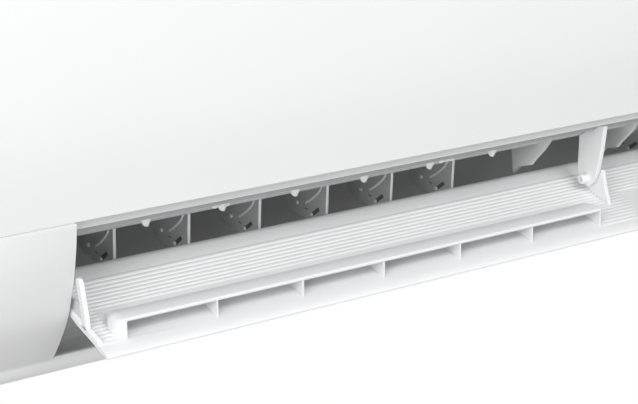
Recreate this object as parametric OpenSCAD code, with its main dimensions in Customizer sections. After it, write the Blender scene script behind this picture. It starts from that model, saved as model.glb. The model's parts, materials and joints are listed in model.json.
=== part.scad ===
// Wall mounted indoor unit of a split air conditioner, outlet flap open.
// X runs along the unit, the wall is the plane y = 0, the front faces -Y and z = 0 is at mid height.

/* [Overall] */
// Width of the whole unit
unit_w = 837; // [800:1:880]
// Height of the whole unit
unit_h = 300; // [294:1:312]
// Depth from the wall to the front of the panel
unit_d = 190; // [187:1:198]
// Width of each closed end, from its outer side to the outlet
end_w = 85.5; // [78:0.5:92]

/* [Casing] */
// Wall of the casing and of the rear base
wall = 2.5; // [2:0.1:3]
// Thickness of the front panel
panel_t = 3; // [2.5:0.1:3.5]
// Width of one slat of the air inlet grille
slat_w = 2.6; // [2:0.1:3.5]
// Distance between two slats of the grille
slat_pitch = 9.5; // [8:0.1:12]
// Distance between two cross bars of the grille
bar_pitch = 52; // [40:1:70]

/* [Mounting plate] */
// Width of the wall plate
plate_w = 560; // [480:1:600]
// Height of the wall plate
plate_h = 220; // [200:1:240]
// Thickness of the wall plate's sheet
plate_t = 1.2; // [1:0.1:1.5]
// Distance between the plate's screw holes along the unit
plate_hole_dx = 450; // [400:1:460]
// Distance between the plate's screw holes in height
plate_hole_dz = 150; // [120:1:160]
// Radius of the plate's screw holes
plate_hole_r = 3; // [2.5:0.1:3.5]

/* [Flap] */
// Thickness of the flap's skin with its ribs
flap_t = 3; // [2.6:0.1:3.4]
// Height of the ribs on the flap's inner face
flap_rib = 0.8; // [0.5:0.1:1]
// Angle from shut to the open rest position
flap_open = 85.5; // [80:0.5:88]
// Half of the gap between the two wings
wing_end = 19; // [16:0.5:28]
// Distance from the flap's end to the last web under its wing
wing_gap = 14.9; // [12:0.1:18]
// Radius of the flap's hinge pins
pin_r = 2; // [1.8:0.1:2.3]

/* [Vanes] */
// Distance from the middle of the unit to the nearest vane
bay_w = 75; // [70:0.5:90]
// Number of vanes on each side
vane_count = 6; // [4:1:6]
// Thickness of a vane
vane_t = 1.8; // [1.4:0.1:2.2]
// Radius of a vane's pivot pegs
peg_r = 1.5; // [1.2:0.1:1.8]
// Distance from a vane's pivot to the link bar's peg
crank_r = 15.5; // [14:0.1:17]

/* [Fan] */
// Radius of the cross flow fan
fan_r = 46; // [43:0.5:47]
// Gap between the fan and each bulkhead
fan_gap = 9.7; // [8:0.1:16]
// Number of blades round the fan
fan_blades = 26; // [22:1:32]
// Number of bays along the fan
fan_bays = 6; // [4:1:8]
// Radius of the fan's shafts
shaft_r = 4; // [3.5:0.1:4.5]
// Radius of the fan motor
motor_r = 42; // [38:0.5:43]
// Length of the fan motor
motor_w = 50; // [44:1:54]

/* [Coil] */
// Distance from the coil's fins to each bulkhead
coil_gap = 32.7; // [28:0.1:50]
// Thickness of the coil, two rows of tubes
coil_t = 26; // [24:0.5:27]
// Distance between two fins as drawn
fin_pitch = 16; // [12:0.5:20]
// Thickness of a fin as drawn
fin_t = 0.6; // [0.4:0.1:0.8]
// Radius of the coil's tubes
tube_r = 3.5; // [3:0.1:3.8]
// Radius of the liquid pipe outside the unit
liquid_r = 3.175; // [3.1:0.1:3.3]
// Radius of the gas pipe outside the unit
gas_r = 4.76; // [4.7:0.1:5]

/* [Hidden] */
$fn = 48;

// Clearances: a running fit, a seat, a free gap and the overrun of a cut
fit = 0.05;
seat = 0.3;
gap = 1;
over = 1;

// Whole section: places are shares of the depth and of half the height
function at(list) = [for (p = list) [-p[0] * unit_d, p[1] * unit_h / 2]];
panel_shares = [[0.842, 0.943], [0.905, 0.84], [0.958, 0.667], [0.989, 0.433], [1, 0.167],
    [0.993, -0.1], [0.9595, -0.363]];
cheek_shares = [[0.958, -0.369], [0.945, -0.473], [0.918, -0.591], [0.878, -0.717],
    [0.822, -0.825], [0.767, -0.914]];
bottom_shares = [[0.767, -0.914], [0.746, -0.958], [0.722, -0.984], [0.69, -0.997],
    [0.64, -1], [0.59, -1], [0.45, -1], [0.03, -1]];
scroll_shares = [[0.126, 0.267], [0.147, 0.1], [0.163, -0.033], [0.2, -0.253],
    [0.284, -0.467], [0.421, -0.653], [0.547, -0.767], [0.625, -0.82]];
flap_shares = [[0.9815, -0.368], [0.955, -0.48], [0.929, -0.59], [0.892, -0.693],
    [0.84, -0.793]];
lip_shares = [[0.911, -0.4035], [0.8, -0.485], [0.663, -0.3], [0.673, -0.287],
    [0.795, -0.452], [0.898, -0.377], [0.898, -0.34], [0.911, -0.34]];
pan_end_shares = [[0.911, -0.23], [0.911, -0.4035], [0.8, -0.485], [0.663, -0.3],
    [0.673, -0.287], [0.74, -0.287], [0.77, -0.23]];
strip_shares = [[0.926, -0.364], [0.926, -0.402], [0.914, -0.402], [0.914, -0.364]];
ledge_shares = [[0.767, -0.914], [0.771, -0.903], [0.763, -0.9], [0.756, -0.909],
    [0.73, -0.9105], [0.69, -0.9], [0.655, -0.873], [0.631, -0.823], [0.631, -0.845],
    [0.648, -0.894], [0.688, -0.921], [0.732, -0.931], [0.747, -0.937]];
bulkhead_shares = [[0.05, 0.9], [0.55, 0.9], [0.74, 0.55], [0.88, 0.2], [0.88, -0.18],
    [0.75, -0.2], [0.652, -0.28],
    [0.62, -0.34], [0.62, -0.829], [0.541, -0.776], [0.415, -0.661], [0.278, -0.473],
    [0.193, -0.256], [0.05, -0.25]];
arm_shares = [[0.925, -0.41], [0.915, -0.503], [0.899, -0.607], [0.886, -0.645],
    [0.868, -0.665], [0.843, -0.667], [0.822, -0.64], [0.815, -0.6], [0.816, -0.4745],
    [0.9, -0.4125]];
vane_shares = [[0.705, -0.4], [0.642, -0.387], [0.492, -0.452], [0.476, -0.6],
    [0.476, -0.645], [0.484, -0.673], [0.503, -0.691], [0.545, -0.7], [0.584, -0.7],
    [0.64, -0.8], [0.684, -0.813], [0.688, -0.78]];

half_w = unit_w / 2;
half_h = unit_h / 2;
cheek_x = half_w - end_w;
hinge_y = -0.858 * unit_d;
hinge_z = -0.637 * half_h;
fan_y = -0.463 * unit_d;
fan_z = -0.08 * half_h;
back_y = -(plate_t + seat);

// A smooth curve through a few points
curve_steps = 5;
function blend(p, i, t) =
    let (a = p[max(i - 1, 0)], b = p[i], c = p[i + 1], d = p[min(i + 2, len(p) - 1)])
    (2 * b + (c - a) * t + (2 * a - 5 * b + 4 * c - d) * t * t
        + (3 * b - a - 3 * c + d) * t * t * t) / 2;
function smooth(p) = concat(
    [for (i = [0:len(p) - 2]) for (k = [0:curve_steps - 1]) blend(p, i, k / curve_steps)],
    [p[len(p) - 1]]);
// Points at a distance from each point of a line, to its left
function left_of(p, i) =
    let (d = p[min(i + 1, len(p) - 1)] - p[max(i - 1, 0)]) [-d[1], d[0]] / norm(d);
function beside(p, t) = [for (i = [0:len(p) - 1]) p[i] + left_of(p, i) * t];
function back_along(p) = [for (i = [len(p) - 1:-1:0]) p[i]];
function plate_of(p, t) = concat(p, back_along(beside(p, t)));
function dense(p, n) = concat(
    [for (i = [0:len(p) - 2]) for (k = [0:n - 1]) p[i] + (p[i + 1] - p[i]) * k / n],
    [p[len(p) - 1]]);

panel_path = smooth(at(panel_shares));
cheek_path = smooth(at(cheek_shares));
bottom_path = smooth(at(bottom_shares));
scroll_path = smooth(at(scroll_shares));
flap_path = smooth(at(flap_shares));

// Draws a section of the unit between two places along it
module along_x(x0, x1) {
    translate([x0, 0, 0]) rotate([90, 0, 90]) linear_extrude(x1 - x0) children();
}
// A rod along the unit
module rod(x0, x1, y, z, r) {
    translate([x0, y, z]) rotate([0, 90, 0]) cylinder(r = r, h = x1 - x0);
}
module block(x0, x1, y0, y1, z0, z1) {
    translate([x0, y0, z0]) cube([x1 - x0, y1 - y0, z1 - z0]);
}
module both_ends() {
    children();
    mirror([1, 0, 0]) children();
}

// Mounting plate: sheet steel with two hooks that carry the rear base
hook_w = 40;
hook_dx = 420;
hook_rise = 7;
hook_t = plate_t;
hook_slot = 0.5;
hook_drop = 5;
plate_z = -0.1 * half_h;
hook_z = plate_z + plate_h / 2 - hook_drop;
module mounting_plate() {
    color("silver") {
        difference() {
            block(-plate_w / 2, plate_w / 2, -plate_t, 0, plate_z - plate_h / 2,
                plate_z + plate_h / 2);
            for (sx = [-1, 1]) for (sz = [-1, 1])
                translate([sx * plate_hole_dx / 2, over, plate_z + sz * plate_hole_dz / 2])
                    rotate([90, 0, 0]) cylinder(r = plate_hole_r, h = plate_t + 2 * over);
        }
        for (sx = [-1, 1]) {
            x = sx * hook_dx / 2;
            reach = back_y - wall - hook_slot - hook_t;
            block(x - hook_w / 2, x + hook_w / 2, reach, -plate_t / 2, hook_z, hook_z + hook_t);
            block(x - hook_w / 2, x + hook_w / 2, reach, reach + hook_t, hook_z,
                hook_z + hook_rise);
        }
    }
}

// Rear base: back wall, scroll wall behind the fan, two bulkheads and the motor's cradle
base_top = 0.93 * half_h;
base_bottom = -0.97 * half_h;
bulkhead_x = cheek_x - wall - seat;
fan_w = 2 * (bulkhead_x - wall - fan_gap);
coil_w = 2 * (bulkhead_x - wall - coil_gap);
shaft_hole_r = 3.5 * shaft_r;
motor_x = bulkhead_x + wall + seat;
cradle_w = motor_w * 0.7;
cradle_wall = 4;
module rear_base() {
    color("gainsboro") difference() {
        union() {
            block(-half_w + wall + gap, half_w - wall - gap, back_y - wall, back_y,
                base_bottom, base_top);
            along_x(-bulkhead_x, bulkhead_x) polygon(plate_of(scroll_path, wall));
            both_ends() along_x(bulkhead_x - wall, bulkhead_x)
                polygon(concat(at(bulkhead_shares), [[back_y - wall / 2, -0.25 * half_h],
                    [back_y - wall / 2, 0.9 * half_h]]));
            difference() {
                block(motor_x + seat, motor_x + cradle_w, fan_y - motor_r - cradle_wall,
                    back_y - wall / 2, fan_z - motor_r - cradle_wall, fan_z);
                rod(motor_x, motor_x + motor_w, fan_y, fan_z, motor_r + seat);
            }
        }
        rod(-bulkhead_x - over, bulkhead_x + over, fan_y, fan_z, shaft_hole_r);
        for (sx = [-1, 1])
            block(sx * hook_dx / 2 - hook_w / 2 - gap, sx * hook_dx / 2 + hook_w / 2 + gap,
                back_y - wall - over, back_y + over, hook_z - seat, hook_z + hook_rise + gap);
        block(-pipe_hole_w / 2 + pipe_x, pipe_hole_w / 2 + pipe_x, back_y - wall - over,
            back_y + over, pipe_z - pipe_hole_h / 2, pipe_z + pipe_hole_h / 2);
    }
}

// Front casing: cheeks, ends, bottom, outlet ledge, trim strip and top grille
top_front_y = -0.75 * unit_d;
casing_rear_y = -0.03 * unit_d;
inner_front = beside(panel_path, panel_t + seat);
end_outline = concat(inner_front, cheek_path, bottom_path,
    [[casing_rear_y, half_h], [top_front_y, half_h], [0.828 * -unit_d, 0.965 * half_h]]);
grille_x = half_w - wall;
slat_count = floor((-casing_rear_y - wall - slat_w + -top_front_y - wall * 2) / slat_pitch);
bar_count = floor(2 * grille_x / bar_pitch / 2);
slat_h = 3;
bar_h = 4;
frame_w = 14;
module front_casing() {
    color("white") difference() {
        union() {
            // Ends
            both_ends() along_x(half_w - wall, half_w) polygon(end_outline);
            // Cheeks with their inner walls
            both_ends() along_x(cheek_x, half_w - wall / 2)
                polygon(plate_of(concat(cheek_path, [bottom_path[1], bottom_path[2]]), wall));
            both_ends() along_x(cheek_x, cheek_x + wall)
                polygon(concat(cheek_path, [[-0.66 * unit_d, -0.96 * half_h],
                    [-0.66 * unit_d, -0.405 * half_h]]));
            // Bottom, ledge and trim strip
            along_x(-half_w + wall / 2, half_w - wall / 2) polygon(plate_of(bottom_path, wall));
            along_x(-cheek_x - wall / 2, cheek_x + wall / 2) polygon(at(ledge_shares));
            along_x(-cheek_x - wall / 2, cheek_x + wall / 2) polygon(at(strip_shares));
            // Bosses for the lower pegs of the vanes
            for (side = [-1, 1]) for (i = [1:vane_count])
                translate([side * vane_x(i), vane_y, boss_low_z])
                    cylinder(r = 2 * peg_r + gap, h = boss_h, $fn = 24);
            for (x = screw_places) translate([x, screw_y, -half_h])
                cylinder(r = screw_head_r + wall, h = well_deep + wall);
            // Top frame and grille
            block(-grille_x, grille_x, casing_rear_y - frame_w, casing_rear_y,
                half_h - wall, half_h);
            block(-grille_x, grille_x, top_front_y, top_front_y + frame_w,
                half_h - wall, half_h);
            for (k = [1:slat_count - 1])
                block(-grille_x, grille_x, top_front_y + k * slat_pitch,
                    top_front_y + k * slat_pitch + slat_w, half_h - slat_h, half_h);
            for (k = [-bar_count:bar_count])
                block(k * bar_pitch - slat_w / 2, k * bar_pitch + slat_w / 2, top_front_y,
                    casing_rear_y, half_h - bar_h, half_h - slat_h / 2);
        }
        // Room for the panel's upper edge when the panel swings up
        difference() {
            rod(-half_w - over, half_w + over, panel_hinge_y, panel_hinge_z, panel_sweep_r);
            rod(-half_w - over, half_w + over, panel_hinge_y, panel_hinge_z, lug_r - gap);
            block(-half_w - over, half_w + over, panel_hinge_y - unit_d, unit_d,
                panel_hinge_z - unit_h, panel_hinge_z);
        }
        // Pivot holes of the flap and of the panel
        rod(-cheek_x - wall - over, -cheek_x + over, hinge_y, hinge_z, pin_r + fit);
        rod(cheek_x - over, cheek_x + wall + over, hinge_y, hinge_z, coupler_r + seat);
        for (side = [-1, 1])
            rod(side * half_w - wall - over, side * half_w + wall + over, panel_hinge_y,
                panel_hinge_z, panel_pin_r + fit);
        for (side = [-1, 1]) for (i = [1:vane_count])
            translate([side * vane_x(i), vane_y, boss_low_z + wall])
                cylinder(r = peg_r + fit, h = boss_h, $fn = 32);
        // Wells and holes for the casing screws
        for (x = screw_places) translate([x, screw_y, -half_h - over]) {
            cylinder(r = screw_r + seat, h = well_deep + screw_len);
            cylinder(r = screw_head_r + seat, h = well_deep + over);
        }
    }
}

// Front panel, hinged at its upper corners
panel_hinge_y = -0.82 * unit_d;
panel_hinge_z = 0.88 * half_h;
panel_pin_r = 2.5;
panel_sweep_r = norm(panel_path[0] - [panel_hinge_y, panel_hinge_z]) + gap;
lug_t = 4;
lug_r = 6;
module front_panel() {
    color("whitesmoke") {
        along_x(-half_w, half_w) polygon(plate_of(panel_path, panel_t));
        both_ends() difference() {
            along_x(half_w - wall - seat - lug_t, half_w - wall - seat) union() {
                translate([panel_hinge_y, panel_hinge_z]) circle(lug_r / 2 + panel_pin_r / 2);
                polygon([panel_path[2], panel_path[8], [panel_hinge_y, panel_hinge_z
                    - lug_r / 2]]);
            }
            rod(half_w - wall - lug_t - over, half_w, panel_hinge_y, panel_hinge_z,
                panel_pin_r + fit);
        }
    }
}
module panel_hinge_pins() {
    color("silver") both_ends()
        rod(half_w - wall - seat - lug_t, half_w - seat, panel_hinge_y, panel_hinge_z,
            panel_pin_r);
}

// Air filters: a frame with cross ribs and a thin net, sloping just behind the panel
filter_top = [-0.778 * unit_d, 0.985 * half_h];
filter_low = [-0.951 * unit_d, -0.3 * half_h];
filter_t = 2.4;
net_t = 0.5;
filter_gap = 8;
filter_side = 6.7;
filter_w = bulkhead_x - wall - filter_side - filter_gap;
filter_len = norm(filter_top - filter_low);
filter_lean = atan2(filter_top[0] - filter_low[0], filter_top[1] - filter_low[1]);
rib_w = 4;
filter_cols = 5;
filter_rows = 5;
module filter() {
    color("lightsteelblue")
        translate([filter_gap, filter_low[0], filter_low[1]]) rotate([-filter_lean, 0, 0]) {
            block(rib_w / 2, filter_w - rib_w / 2, filter_t / 2 - net_t / 2,
                filter_t / 2 + net_t / 2, rib_w / 2, filter_len - rib_w / 2);
            for (k = [0:filter_cols]) {
                x = k * (filter_w - rib_w) / filter_cols;
                block(x, x + rib_w, 0, filter_t, 0, filter_len);
            }
            for (k = [0:filter_rows]) {
                z = k * (filter_len - rib_w) / filter_rows;
                block(0, filter_w, 0, filter_t, z, z + rib_w);
            }
        }
}

// Coil: three packs of fins round the fan, their tubes and end plates.
// Each pack has a long side from its lower to its upper corner, and so many tubes in a row
pack_ends_shares = [[[0.884, -0.333], [0.884, 0.04]], [[0.874, 0.147], [0.643, 0.693]],
    [[0.139, 0.402], [0.484, 0.814]]];
pack_tubes = [3, 5, 4];
function pack(n) = let (e = at(pack_ends_shares[n]), d = e[1] - e[0])
    [e[0], atan2(d[1], d[0]), norm(d), pack_tubes[n]];
packs = [for (n = [0:2]) pack(n)];
sides = [1, 1, -1];
end_plate_t = 1;
function tube_place(n, k, row) =
    let (p = packs[n], s = sides[n], u = p[2] * (k + 0.5) / p[3], v = coil_t * (row ? 0.75 : 0.25))
    p[0] + [cos(p[1]) * u + s * sin(p[1]) * v, sin(p[1]) * u - s * cos(p[1]) * v];
module pack_outline(n, edge, hole) {
    p = packs[n];
    difference() {
        translate(p[0]) rotate(p[1])
            translate([-edge, sides[n] > 0 ? -coil_t - edge : -edge])
                square([p[2] + 2 * edge, coil_t + 2 * edge]);
        for (k = [0:p[3] - 1]) for (row = [0, 1])
            translate(tube_place(n, k, row)) circle(hole);
    }
}
module pack_fins(n) {
    count = floor(coil_w / fin_pitch);
    color("silver") for (i = [0:count])
        along_x(-coil_w / 2 + i * coil_w / count - fin_t / 2, -coil_w / 2 + i * coil_w / count
            + fin_t / 2) pack_outline(n, 0, tube_r + seat);
}
plate_x = coil_w / 2 + gap;
// A tab that reaches from the coil's end plate to the bulkhead
tab_shares = [0.4, 0.2];
module pack_tab(n) {
    p = packs[n];
    translate(p[0]) rotate(p[1])
        translate([p[2] * tab_shares[0], sides[n] > 0 ? -coil_t : coil_t - end_plate_t])
            square([p[2] * tab_shares[1], end_plate_t]);
}
module coil_end_plates() {
    color("silver") both_ends() for (n = [0:2]) {
        along_x(plate_x, plate_x + end_plate_t) pack_outline(n, 0, tube_r + seat);
        along_x(plate_x, bulkhead_x - wall - seat) pack_tab(n);
    }
}
// A return bend between two tubes, at the end of the coil
module return_bend(p, q, side) {
    c = (p + q) / 2;
    d = q - p;
    translate([side * (plate_x + end_plate_t + fit), c[0], c[1]])
        rotate([atan2(d[1], d[0]), 0, 0]) rotate([0, 0, side > 0 ? -90 : 90])
            rotate_extrude(angle = 180) translate([norm(d) / 2, 0]) circle(tube_r, $fn = 24);
}
module coil_tubes() {
    color("peru") for (n = [0:2]) {
        last = packs[n][3] - 1;
        for (k = [0:last]) for (row = [0, 1]) {
            p = tube_place(n, k, row);
            rod(-plate_x - end_plate_t, plate_x + end_plate_t, p[0], p[1], tube_r, $fn = 24);
        }
        for (k = [0:last]) return_bend(tube_place(n, k, 0), tube_place(n, k, 1), -1);
        for (k = [0:last - 1]) return_bend(tube_place(n, k, 1), tube_place(n, k + 1, 0), 1);
    }
}

// Pipes from the coil to the flare nuts behind the left end
pipe_x = -half_w + 0.49 * end_w;
pipe_z = -0.72 * half_h;
pipe_hole_w = 60;
pipe_hole_h = 62;
pipe_gap = 24;
pipe_mid_y = -0.12 * unit_d;
pipe_end_y = -0.02 * unit_d;
pipe_top_z = 0.2 * half_h;
flare_t = 0.8;
flare_len = 4;
module elbow_pipe(x, r, bend) {
    y = pipe_mid_y - bend;
    translate([x, pipe_end_y - flare_len, pipe_z]) rotate([-90, 0, 0])
        cylinder(r = r + flare_t, h = flare_len);
    translate([x, y, pipe_z + bend]) cylinder(r = r, h = pipe_top_z - pipe_z - bend);
    translate([x, y + bend, pipe_z + bend]) rotate([0, 90, 0]) rotate([0, 0, -90])
        rotate_extrude(angle = 90) translate([bend, 0]) circle(r, $fn = 24);
    translate([x, y + bend, pipe_z]) rotate([-90, 0, 0])
        cylinder(r = r, h = pipe_end_y - y - bend - flare_len / 2);
    translate([x, y, pipe_top_z - 2 * r]) rotate([0, 90, 0])
        cylinder(r = r, h = -bulkhead_x - wall - x + wall - seat);
}
module liquid_pipe() {
    color("peru") elbow_pipe(pipe_x - pipe_gap / 2, liquid_r, 3 * liquid_r);
}
module gas_pipe() {
    color("peru") elbow_pipe(pipe_x + pipe_gap / 2, gas_r, 4 * gas_r);
}
nut_wall = 3;
nut_len = 12;
nut_back = flare_len + gap;
module flare_nut(x, r) {
    translate([x, pipe_end_y - nut_len - nut_back, pipe_z]) rotate([-90, 0, 0]) difference() {
        cylinder(r = r + nut_wall, h = nut_len, $fn = 6);
        translate([0, 0, -over]) cylinder(r = r + fit, h = nut_len + 2 * over, $fn = 48);
    }
}
module flare_nuts() {
    color("goldenrod") {
        flare_nut(pipe_x - pipe_gap / 2, liquid_r);
        flare_nut(pipe_x + pipe_gap / 2, gas_r);
    }
}

// Cross flow fan
disc_t = 1.6;
blade_t = 1;
hub_r = 2.6 * shaft_r;
hub_w = 20;
blade_shares = [[0.76, 0], [0.87, 6], [0.985, 17]];
function round_at(r, a) = [r * cos(a), r * sin(a)];
module fan_rotor() {
    path = [for (s = blade_shares) round_at(s[0] * fan_r, s[1])];
    bay = (fan_w - disc_t) / fan_bays;
    color("dimgray") translate([0, fan_y, fan_z]) {
        along_x(-fan_w / 2 + disc_t / 2, fan_w / 2 - disc_t / 2)
            for (k = [0:fan_blades - 1]) rotate(360 * k / fan_blades)
                polygon(plate_of(path, blade_t));
        for (k = [1:fan_bays - 1]) translate([-fan_w / 2 + k * bay, 0, 0])
            rotate([0, 90, 0]) difference() {
                cylinder(r = fan_r, h = disc_t);
                translate([0, 0, -over]) cylinder(r = 0.72 * fan_r, h = disc_t + 2 * over);
            }
        both_ends() translate([fan_w / 2 - disc_t, 0, 0]) rotate([0, 90, 0])
            difference() {
                union() {
                    cylinder(r = fan_r, h = disc_t);
                    translate([0, 0, -hub_w]) cylinder(r = hub_r, h = hub_w + disc_t / 2);
                }
                translate([0, 0, -hub_w - over])
                    cylinder(r = shaft_r + fit, h = hub_w + disc_t + 2 * over);
            }
    }
}
bearing_w = 9;
bearing_r = 2.5 * shaft_r;
module fan_shaft() {
    color("silver") rod(-bulkhead_x - bearing_w - seat, -fan_w / 2 + hub_w, fan_y, fan_z, shaft_r);
}
module fan_bearing() {
    color("black") difference() {
        rod(-bulkhead_x - bearing_w, -bulkhead_x - seat, fan_y, fan_z, bearing_r);
        rod(-bulkhead_x - bearing_w - over, -bulkhead_x + over, fan_y, fan_z, shaft_r + fit);
    }
}
holder_r = 6 * shaft_r;
module bearing_holder() {
    color("whitesmoke") difference() {
        rod(-bulkhead_x - bearing_w, -bulkhead_x, fan_y, fan_z, holder_r);
        rod(-bulkhead_x - bearing_w - over, -bulkhead_x + over, fan_y, fan_z, bearing_r + fit);
    }
}
module fan_motor() {
    color("gray") {
        rod(motor_x, motor_x + motor_w, fan_y, fan_z, motor_r);
        rod(fan_w / 2 - hub_w, motor_x + over, fan_y, fan_z, shaft_r);
    }
}
clamp_w = 14;
clamp_x = motor_x + cradle_w / 2 - clamp_w / 2;
module motor_clamp() {
    color("silver") difference() {
        union() {
            rod(clamp_x, clamp_x + clamp_w, fan_y, fan_z, motor_r + cradle_wall);
            block(clamp_x, clamp_x + clamp_w, fan_y - motor_r - cradle_wall,
                fan_y + motor_r + cradle_wall, fan_z, fan_z + cradle_wall);
        }
        rod(clamp_x - over, clamp_x + clamp_w + over, fan_y, fan_z, motor_r + seat);
        block(clamp_x - over, clamp_x + clamp_w + over, fan_y - 2 * motor_r, fan_y + 2 * motor_r,
            fan_z - 2 * motor_r, fan_z);
    }
}

// Drain pan, whose underside is the upper lip of the outlet
pan_x = bulkhead_x + wall - seat / 2;
rib_places = [-29, 38];
rib_t = 3;
centre_rib_shares = [[0.853, -0.43], [0.855, -0.455], [0.826, -0.504], [0.786, -0.556],
    [0.771, -0.58], [0.721, -0.6], [0.695, -0.633], [0.685, -0.53], [0.675, -0.305],
    [0.79, -0.463]];
clip_w = 4;
clip_t = 1.2;
module drain_pan() {
    color("gainsboro") difference() {
        union() {
            along_x(-pan_x, pan_x) polygon(at(lip_shares));
            both_ends() along_x(pan_x - wall, pan_x)
                polygon(at(pan_end_shares));
            for (x = rib_places)
                along_x(x - rib_t / 2, x + rib_t / 2) polygon(at(centre_rib_shares));
            // Bosses for the upper pegs of the vanes
            for (side = [-1, 1]) for (i = [1:vane_count])
                translate([side * vane_x(i), vane_y, boss_top_z])
                    cylinder(r = peg_r + gap, h = wall_top_z - boss_top_z);
            // Pegs under the lip, one beside each vane
            for (side = [-1, 1]) for (i = [1:vane_count])
                translate([side * (vane_x(i) - cone_place), cone_y, lip_under_z(cone_y) - cone_h])
                    cylinder(r1 = cone_tip_r, r2 = cone_r, h = cone_h + wall / 2, $fn = 32);
            // Clips that carry the link bars
            for (side = [-1, 1]) for (i = [2, vane_count - 1]) {
                x = side * (vane_x(i) - clip_place);
                block(x - clip_w / 2, x + clip_w / 2, bar_y - bar_d / 2 - seat - clip_t,
                    bar_y - bar_d / 2 - seat, bar_z - seat - clip_t, lip_under_z(bar_y
                    - bar_d / 2 - seat - clip_t) + wall / 2);
                block(x - clip_w / 2, x + clip_w / 2, bar_y - bar_d / 2 - seat - clip_t / 2,
                    bar_y + bar_d / 2, bar_z - seat - clip_t, bar_z - seat);
            }
        }
        for (side = [-1, 1]) for (i = [1:vane_count])
            translate([side * vane_x(i), vane_y, boss_top_z - over])
                cylinder(r = peg_r + fit, h = peg_h + over + gap);
    }
}
// Spigot for the drain hose at the left end of the pan
spigot_r = 8;
spigot_wall = 1.8;
spigot_len = 22;
spigot_y = -0.85 * unit_d;
spigot_z = -0.3 * half_h;
module drain_spigot() {
    color("whitesmoke") difference() {
        rod(-pan_x - spigot_len, -pan_x - seat, spigot_y, spigot_z, spigot_r);
        rod(-pan_x - spigot_len - over, -pan_x, spigot_y, spigot_z, spigot_r - spigot_wall);
    }
}

// Flap: a curved plate with ribs, ears, a raised wing with webs, drawn shut and turned open
flap_x = cheek_x - 1.5 * gap;
ear_t = 2.5;
ear_r = 4.6;
web_t = 1.6;
web_count = 6;
web_pitch = (flap_x - wing_end - wing_gap) / web_count;
wing_out = wing_end + web_pitch * web_count;
wing_tip_w = 6;
flap_line = dense(flap_path, 3);
// Every second point of the inner face is a rib's crest, apart from those near the two edges
rib_every = 2;
plain_lip = 6;
plain_rear = 5;
function flap_inner(i) =
    let (rib = i % rib_every == 0 && i > plain_lip && i < len(flap_line) - plain_rear)
    flap_line[i] + left_of(flap_line, i) * (rib ? flap_t : flap_t - flap_rib);
flap_section = concat(flap_line, [for (i = [len(flap_line) - 1:-1:0]) flap_inner(i)]);
wing_shares = [[0.9245, -0.5742], [0.9157, -0.5626], [0.9022, -0.5245], [0.8951, -0.4857],
    [0.8975, -0.4298], [0.9022, -0.4229], [0.9073, -0.4254], [0.9030, -0.4865],
    [0.9108, -0.5227], [0.9219, -0.5472], [0.9300, -0.5534]];
wing_tip_shares = [[0.9309, -0.5561], [0.9237, -0.5701], [0.9147, -0.5612], [0.9022, -0.5245],
    [0.8951, -0.4857], [0.8975, -0.4298], [0.9096, -0.4223], [0.9591, -0.4252]];
web_shares = [[0.9132, -0.551], [0.8983, -0.486], [0.9051, -0.427], [0.9556, -0.4307],
    [0.9447, -0.4906], [0.929, -0.5526]];
ear_shares = [[0.8341, -0.6515], [0.8692, -0.6048], [0.8788, -0.5523], [0.9212, -0.5070],
    [0.9387, -0.5061], [0.9228, -0.5834], [0.8908, -0.6738]];
post_shares = [[0.8097, -0.5695], [0.8042, -0.5555], [0.8074, -0.5385], [0.8169, -0.5287],
    [0.9108, -0.5060], [0.9394, -0.5035], [0.9289, -0.5533]];
mid_ear_shares = [[0.8343, -0.6481], [0.8288, -0.5847], [0.8257, -0.5751], [0.8356, -0.5680],
    [0.8802, -0.5564], [0.9350, -0.5325], [0.9138, -0.6093], [0.8928, -0.6674]];
module open_flap() {
    translate([0, hinge_y, hinge_z]) rotate([flap_open, 0, 0])
        translate([0, -hinge_y, -hinge_z]) children();
}
module flap() {
    color("white") open_flap() difference() {
        union() {
            along_x(-flap_x, flap_x) polygon(flap_section);
            both_ends() {
                along_x(-flap_x, -flap_x + ear_t) union() {
                    polygon(at(ear_shares));
                    polygon(at(post_shares));
                    translate([hinge_y, hinge_z]) circle(ear_r);
                }
                along_x(-wing_out, -wing_end) polygon(at(wing_shares));
                along_x(-wing_out - wing_tip_w, -wing_out) polygon(at(wing_tip_shares));
                for (k = [0:web_count])
                    along_x(-wing_end - k * web_pitch - web_t / 2, -wing_end - k * web_pitch
                        + web_t / 2) polygon(at(web_shares));
            }
            along_x(arm_x + arm_t + seat, arm_x + arm_t + seat + ear_t) union() {
                polygon(at(mid_ear_shares));
                translate([hinge_y, hinge_z]) circle(ear_r);
            }
            rod(-flap_x - wall - gap, -flap_x + ear_t / 2, hinge_y, hinge_z, pin_r);
        }
        rod(arm_x, arm_x + arm_t + ear_t + over, hinge_y, hinge_z, pin_r + fit);
        rod(flap_x - ear_t - over, flap_x + over, hinge_y, hinge_z, pin_r + fit);
    }
}
arm_x = -1;
arm_t = 3;
module hinge_arm() {
    color("whitesmoke") difference() {
        along_x(arm_x, arm_x + arm_t) union() {
            polygon(at(arm_shares));
            translate([hinge_y, hinge_z]) circle(ear_r + pin_r / 4);
        }
        rod(arm_x - over, arm_x + arm_t + over, hinge_y, hinge_z, pin_r + fit);
    }
}
pin_head_r = 3.4;
pin_head_w = 3;
module hinge_pin() {
    color("whitesmoke") {
        rod(arm_x - seat, arm_x + arm_t + seat + ear_t, hinge_y, hinge_z, pin_r);
        difference() {
            rod(arm_x - seat - pin_head_w, arm_x - seat, hinge_y, hinge_z, pin_head_r);
            rod(arm_x - seat - pin_head_w - over, arm_x - seat - pin_head_w / 2, hinge_y,
                hinge_z, pin_r);
        }
    }
}

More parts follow.
